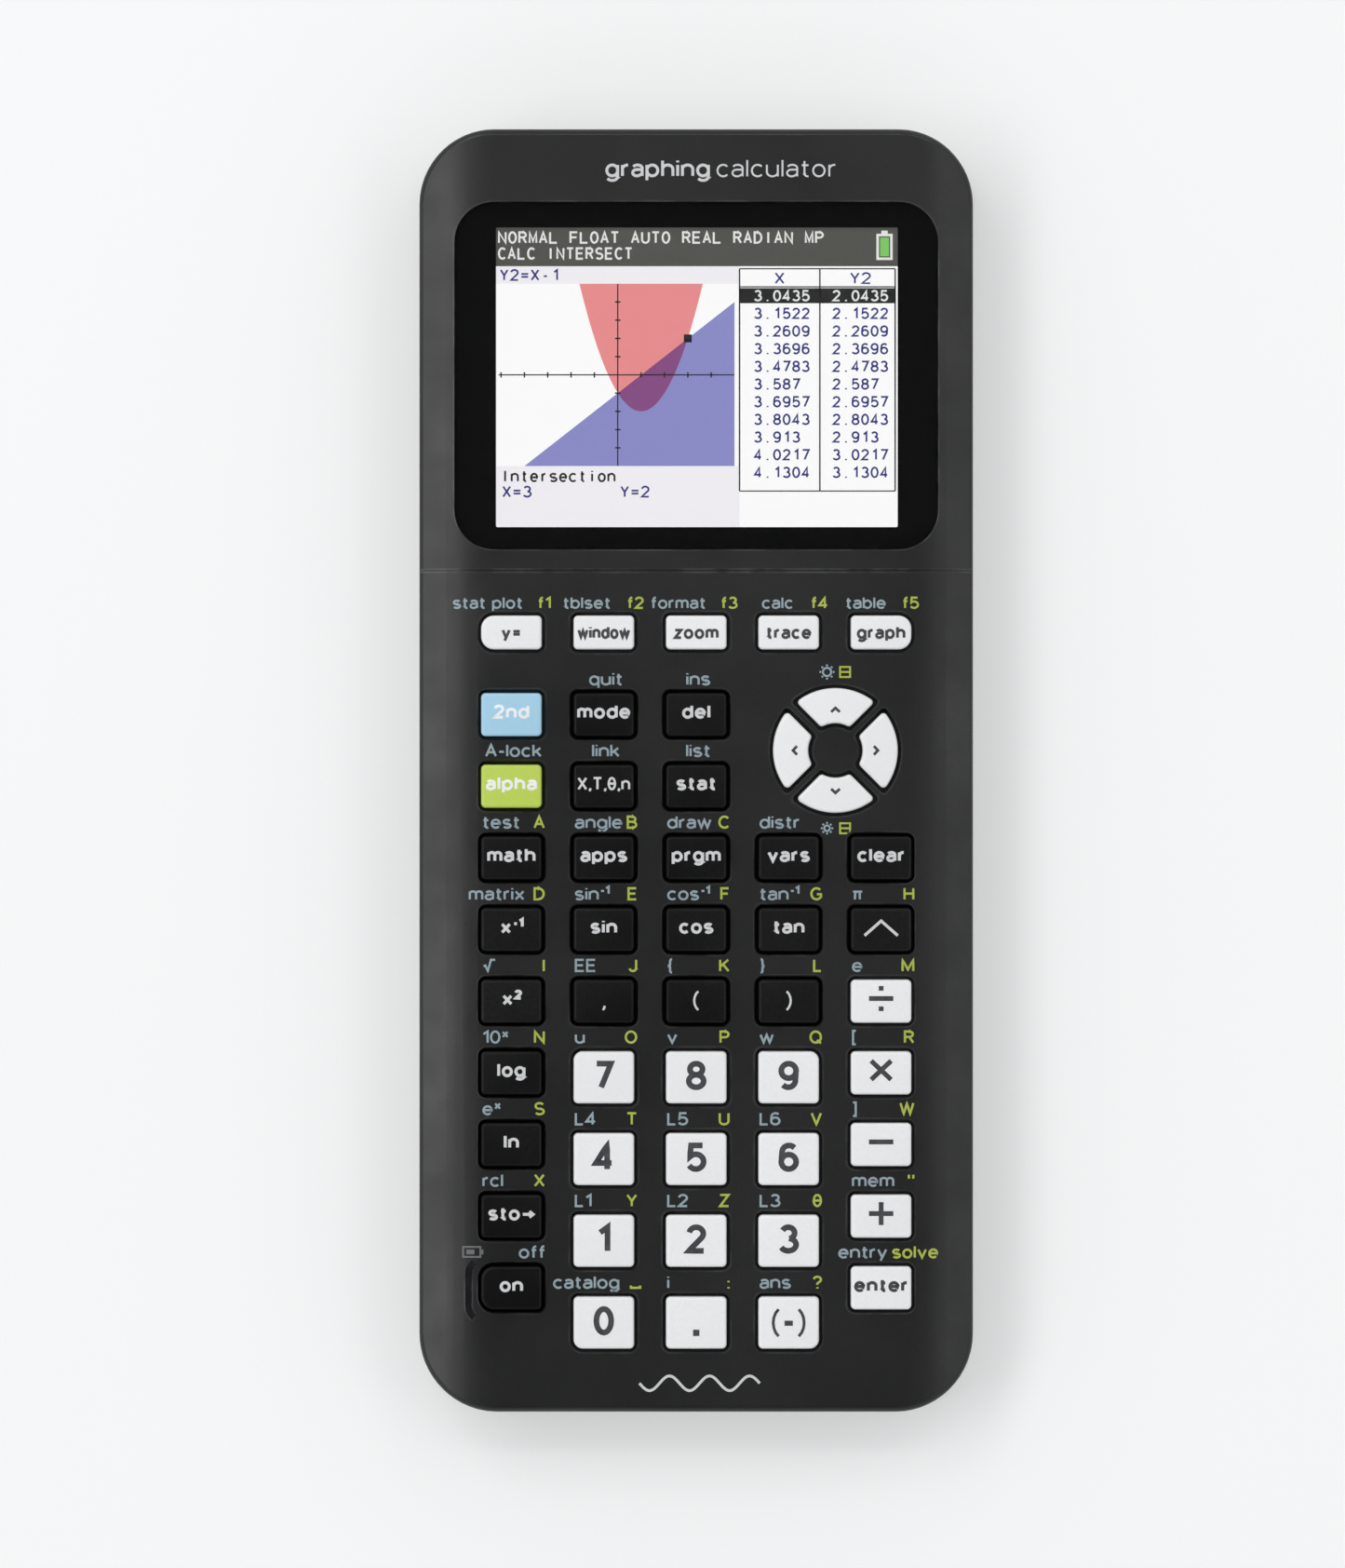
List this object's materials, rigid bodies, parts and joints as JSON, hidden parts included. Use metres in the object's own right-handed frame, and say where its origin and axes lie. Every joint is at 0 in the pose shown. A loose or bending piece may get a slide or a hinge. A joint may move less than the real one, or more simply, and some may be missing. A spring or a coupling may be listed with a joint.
{
  "type": "graphing calculator",
  "caption": "Handheld graphing calculator with a colour display behind a window, an arrow pad, keys that press on a rubber keypad, and a screwed-on battery lid.",
  "frame": {"origin": "under the middle of the case, on the plane that the four feet rest on", "axes": "+X to the right, +Y towards the display end, +Z out of the face; the calculator lies on its back"},
  "size_m": [0.083, 0.192, 0.016],
  "materials": {
    "case_plastic": "satin",
    "rear_plastic": "matte",
    "key_white": "satin",
    "key_black": "satin",
    "key_blue": "satin",
    "key_green": "satin",
    "window_acrylic": "gloss",
    "display_metal": "satin",
    "keypad_rubber": "matte",
    "board": "satin",
    "battery_wrap": "satin",
    "screw_steel": "satin",
    "reset_plastic": "satin",
    "window_ink": "gloss",
    "legend_white": "matte",
    "legend_dark": "matte",
    "legend_blue": "matte",
    "legend_green": "matte",
    "screen": "gloss",
    "light_pipe": "gloss"
  },
  "bodies": {
    "case": {"battery_cover": "rear_plastic", "battery_pack": "battery_wrap", "circuit_board": "board", "display_module": "display_metal", "display_window": "window_acrylic", "front_cover": "case_plastic", "keypad_membrane": "keypad_rubber", "rear_cover": "rear_plastic", "screws": "screw_steel"},
    "key_0": {"key_0": "key_white"},
    "key_1": {"key_1": "key_white"},
    "key_2": {"key_2": "key_white"},
    "key_2nd": {"key_2nd": "key_blue"},
    "key_3": {"key_3": "key_white"},
    "key_4": {"key_4": "key_white"},
    "key_5": {"key_5": "key_white"},
    "key_6": {"key_6": "key_white"},
    "key_7": {"key_7": "key_white"},
    "key_8": {"key_8": "key_white"},
    "key_9": {"key_9": "key_white"},
    "key_add": {"key_add": "key_white"},
    "key_alpha": {"key_alpha": "key_green"},
    "key_apps": {"key_apps": "key_black"},
    "key_clear": {"key_clear": "key_black"},
    "key_close_bracket": {"key_close_bracket": "key_black"},
    "key_comma": {"key_comma": "key_black"},
    "key_cos": {"key_cos": "key_black"},
    "key_decimal_point": {"key_decimal_point": "key_white"},
    "key_del": {"key_del": "key_black"},
    "key_divide": {"key_divide": "key_white"},
    "key_down": {"key_down": "key_white"},
    "key_enter": {"key_enter": "key_white"},
    "key_graph": {"key_graph": "key_white"},
    "key_left": {"key_left": "key_white"},
    "key_ln": {"key_ln": "key_black"},
    "key_log": {"key_log": "key_black"},
    "key_math": {"key_math": "key_black"},
    "key_mode": {"key_mode": "key_black"},
    "key_multiply": {"key_multiply": "key_white"},
    "key_negate": {"key_negate": "key_white"},
    "key_on": {"key_on": "key_black"},
    "key_open_bracket": {"key_open_bracket": "key_black"},
    "key_power": {"key_power": "key_black"},
    "key_prgm": {"key_prgm": "key_black"},
    "key_reciprocal": {"key_reciprocal": "key_black"},
    "key_right": {"key_right": "key_white"},
    "key_sin": {"key_sin": "key_black"},
    "key_square": {"key_square": "key_black"},
    "key_stat": {"key_stat": "key_black"},
    "key_store": {"key_store": "key_black"},
    "key_subtract": {"key_subtract": "key_white"},
    "key_tan": {"key_tan": "key_black"},
    "key_trace": {"key_trace": "key_white"},
    "key_up": {"key_up": "key_white"},
    "key_variable": {"key_variable": "key_black"},
    "key_vars": {"key_vars": "key_black"},
    "key_window": {"key_window": "key_white"},
    "key_y_equals": {"key_y_equals": "key_white"},
    "key_zoom": {"key_zoom": "key_white"},
    "reset_button": {"reset_button": "reset_plastic"}
  },
  "joints": [
    {"name": "key_0_press", "type": "slide", "parent": "case", "child": "key_0", "axis": [0, 0, -1], "range_m": [0, 0.0012], "stiffness_N_per_m": 600, "springref_m": -0.0004, "deforming": ["keypad_membrane"]},
    {"name": "key_1_press", "type": "slide", "parent": "case", "child": "key_1", "axis": [0, 0, -1], "range_m": [0, 0.0012], "stiffness_N_per_m": 600, "springref_m": -0.0004},
    {"name": "key_2_press", "type": "slide", "parent": "case", "child": "key_2", "axis": [0, 0, -1], "range_m": [0, 0.0012], "stiffness_N_per_m": 600, "springref_m": -0.0004},
    {"name": "key_2nd_press", "type": "slide", "parent": "case", "child": "key_2nd", "axis": [0, 0, -1], "range_m": [0, 0.0012], "stiffness_N_per_m": 600, "springref_m": -0.0004},
    {"name": "key_3_press", "type": "slide", "parent": "case", "child": "key_3", "axis": [0, 0, -1], "range_m": [0, 0.0012], "stiffness_N_per_m": 600, "springref_m": -0.0004},
    {"name": "key_4_press", "type": "slide", "parent": "case", "child": "key_4", "axis": [0, 0, -1], "range_m": [0, 0.0012], "stiffness_N_per_m": 600, "springref_m": -0.0004},
    {"name": "key_5_press", "type": "slide", "parent": "case", "child": "key_5", "axis": [0, 0, -1], "range_m": [0, 0.0012], "stiffness_N_per_m": 600, "springref_m": -0.0004},
    {"name": "key_6_press", "type": "slide", "parent": "case", "child": "key_6", "axis": [0, 0, -1], "range_m": [0, 0.0012], "stiffness_N_per_m": 600, "springref_m": -0.0004},
    {"name": "key_7_press", "type": "slide", "parent": "case", "child": "key_7", "axis": [0, 0, -1], "range_m": [0, 0.0012], "stiffness_N_per_m": 600, "springref_m": -0.0004},
    {"name": "key_8_press", "type": "slide", "parent": "case", "child": "key_8", "axis": [0, 0, -1], "range_m": [0, 0.0012], "stiffness_N_per_m": 600, "springref_m": -0.0004},
    {"name": "key_9_press", "type": "slide", "parent": "case", "child": "key_9", "axis": [0, 0, -1], "range_m": [0, 0.0012], "stiffness_N_per_m": 600, "springref_m": -0.0004},
    {"name": "key_add_press", "type": "slide", "parent": "case", "child": "key_add", "axis": [0, 0, -1], "range_m": [0, 0.0012], "stiffness_N_per_m": 600, "springref_m": -0.0004},
    {"name": "key_alpha_press", "type": "slide", "parent": "case", "child": "key_alpha", "axis": [0, 0, -1], "range_m": [0, 0.0012], "stiffness_N_per_m": 600, "springref_m": -0.0004},
    {"name": "key_apps_press", "type": "slide", "parent": "case", "child": "key_apps", "axis": [0, 0, -1], "range_m": [0, 0.0012], "stiffness_N_per_m": 600, "springref_m": -0.0004},
    {"name": "key_clear_press", "type": "slide", "parent": "case", "child": "key_clear", "axis": [0, 0, -1], "range_m": [0, 0.0012], "stiffness_N_per_m": 600, "springref_m": -0.0004},
    {"name": "key_close_bracket_press", "type": "slide", "parent": "case", "child": "key_close_bracket", "axis": [0, 0, -1], "range_m": [0, 0.0012], "stiffness_N_per_m": 600, "springref_m": -0.0004},
    {"name": "key_comma_press", "type": "slide", "parent": "case", "child": "key_comma", "axis": [0, 0, -1], "range_m": [0, 0.0012], "stiffness_N_per_m": 600, "springref_m": -0.0004},
    {"name": "key_cos_press", "type": "slide", "parent": "case", "child": "key_cos", "axis": [0, 0, -1], "range_m": [0, 0.0012], "stiffness_N_per_m": 600, "springref_m": -0.0004},
    {"name": "key_decimal_point_press", "type": "slide", "parent": "case", "child": "key_decimal_point", "axis": [0, 0, -1], "range_m": [0, 0.0012], "stiffness_N_per_m": 600, "springref_m": -0.0004},
    {"name": "key_del_press", "type": "slide", "parent": "case", "child": "key_del", "axis": [0, 0, -1], "range_m": [0, 0.0012], "stiffness_N_per_m": 600, "springref_m": -0.0004},
    {"name": "key_divide_press", "type": "slide", "parent": "case", "child": "key_divide", "axis": [0, 0, -1], "range_m": [0, 0.0012], "stiffness_N_per_m": 600, "springref_m": -0.0004},
    {"name": "key_down_press", "type": "slide", "parent": "case", "child": "key_down", "axis": [0, 0, -1], "range_m": [0, 0.0012], "stiffness_N_per_m": 600, "springref_m": -0.0004},
    {"name": "key_enter_press", "type": "slide", "parent": "case", "child": "key_enter", "axis": [0, 0, -1], "range_m": [0, 0.0012], "stiffness_N_per_m": 600, "springref_m": -0.0004},
    {"name": "key_graph_press", "type": "slide", "parent": "case", "child": "key_graph", "axis": [0, 0, -1], "range_m": [0, 0.0012], "stiffness_N_per_m": 600, "springref_m": -0.0004},
    {"name": "key_left_press", "type": "slide", "parent": "case", "child": "key_left", "axis": [0, 0, -1], "range_m": [0, 0.0012], "stiffness_N_per_m": 600, "springref_m": -0.0004},
    {"name": "key_ln_press", "type": "slide", "parent": "case", "child": "key_ln", "axis": [0, 0, -1], "range_m": [0, 0.0012], "stiffness_N_per_m": 600, "springref_m": -0.0004},
    {"name": "key_log_press", "type": "slide", "parent": "case", "child": "key_log", "axis": [0, 0, -1], "range_m": [0, 0.0012], "stiffness_N_per_m": 600, "springref_m": -0.0004},
    {"name": "key_math_press", "type": "slide", "parent": "case", "child": "key_math", "axis": [0, 0, -1], "range_m": [0, 0.0012], "stiffness_N_per_m": 600, "springref_m": -0.0004},
    {"name": "key_mode_press", "type": "slide", "parent": "case", "child": "key_mode", "axis": [0, 0, -1], "range_m": [0, 0.0012], "stiffness_N_per_m": 600, "springref_m": -0.0004},
    {"name": "key_multiply_press", "type": "slide", "parent": "case", "child": "key_multiply", "axis": [0, 0, -1], "range_m": [0, 0.0012], "stiffness_N_per_m": 600, "springref_m": -0.0004},
    {"name": "key_negate_press", "type": "slide", "parent": "case", "child": "key_negate", "axis": [0, 0, -1], "range_m": [0, 0.0012], "stiffness_N_per_m": 600, "springref_m": -0.0004},
    {"name": "key_on_press", "type": "slide", "parent": "case", "child": "key_on", "axis": [0, 0, -1], "range_m": [0, 0.0012], "stiffness_N_per_m": 600, "springref_m": -0.0004},
    {"name": "key_open_bracket_press", "type": "slide", "parent": "case", "child": "key_open_bracket", "axis": [0, 0, -1], "range_m": [0, 0.0012], "stiffness_N_per_m": 600, "springref_m": -0.0004},
    {"name": "key_power_press", "type": "slide", "parent": "case", "child": "key_power", "axis": [0, 0, -1], "range_m": [0, 0.0012], "stiffness_N_per_m": 600, "springref_m": -0.0004},
    {"name": "key_prgm_press", "type": "slide", "parent": "case", "child": "key_prgm", "axis": [0, 0, -1], "range_m": [0, 0.0012], "stiffness_N_per_m": 600, "springref_m": -0.0004},
    {"name": "key_reciprocal_press", "type": "slide", "parent": "case", "child": "key_reciprocal", "axis": [0, 0, -1], "range_m": [0, 0.0012], "stiffness_N_per_m": 600, "springref_m": -0.0004},
    {"name": "key_right_press", "type": "slide", "parent": "case", "child": "key_right", "axis": [0, 0, -1], "range_m": [0, 0.0012], "stiffness_N_per_m": 600, "springref_m": -0.0004},
    {"name": "key_sin_press", "type": "slide", "parent": "case", "child": "key_sin", "axis": [0, 0, -1], "range_m": [0, 0.0012], "stiffness_N_per_m": 600, "springref_m": -0.0004},
    {"name": "key_square_press", "type": "slide", "parent": "case", "child": "key_square", "axis": [0, 0, -1], "range_m": [0, 0.0012], "stiffness_N_per_m": 600, "springref_m": -0.0004},
    {"name": "key_stat_press", "type": "slide", "parent": "case", "child": "key_stat", "axis": [0, 0, -1], "range_m": [0, 0.0012], "stiffness_N_per_m": 600, "springref_m": -0.0004},
    {"name": "key_store_press", "type": "slide", "parent": "case", "child": "key_store", "axis": [0, 0, -1], "range_m": [0, 0.0012], "stiffness_N_per_m": 600, "springref_m": -0.0004},
    {"name": "key_subtract_press", "type": "slide", "parent": "case", "child": "key_subtract", "axis": [0, 0, -1], "range_m": [0, 0.0012], "stiffness_N_per_m": 600, "springref_m": -0.0004},
    {"name": "key_tan_press", "type": "slide", "parent": "case", "child": "key_tan", "axis": [0, 0, -1], "range_m": [0, 0.0012], "stiffness_N_per_m": 600, "springref_m": -0.0004},
    {"name": "key_trace_press", "type": "slide", "parent": "case", "child": "key_trace", "axis": [0, 0, -1], "range_m": [0, 0.0012], "stiffness_N_per_m": 600, "springref_m": -0.0004},
    {"name": "key_up_press", "type": "slide", "parent": "case", "child": "key_up", "axis": [0, 0, -1], "range_m": [0, 0.0012], "stiffness_N_per_m": 600, "springref_m": -0.0004},
    {"name": "key_variable_press", "type": "slide", "parent": "case", "child": "key_variable", "axis": [0, 0, -1], "range_m": [0, 0.0012], "stiffness_N_per_m": 600, "springref_m": -0.0004},
    {"name": "key_vars_press", "type": "slide", "parent": "case", "child": "key_vars", "axis": [0, 0, -1], "range_m": [0, 0.0012], "stiffness_N_per_m": 600, "springref_m": -0.0004},
    {"name": "key_window_press", "type": "slide", "parent": "case", "child": "key_window", "axis": [0, 0, -1], "range_m": [0, 0.0012], "stiffness_N_per_m": 600, "springref_m": -0.0004},
    {"name": "key_y_equals_press", "type": "slide", "parent": "case", "child": "key_y_equals", "axis": [0, 0, -1], "range_m": [0, 0.0012], "stiffness_N_per_m": 600, "springref_m": -0.0004},
    {"name": "key_zoom_press", "type": "slide", "parent": "case", "child": "key_zoom", "axis": [0, 0, -1], "range_m": [0, 0.0012], "stiffness_N_per_m": 600, "springref_m": -0.0004},
    {"name": "reset_button_press", "type": "slide", "parent": "case", "child": "reset_button", "axis": [0, 0, 1], "range_m": [0, 0.0003], "stiffness_N_per_m": 900, "springref_m": -0.0002}
  ]
}
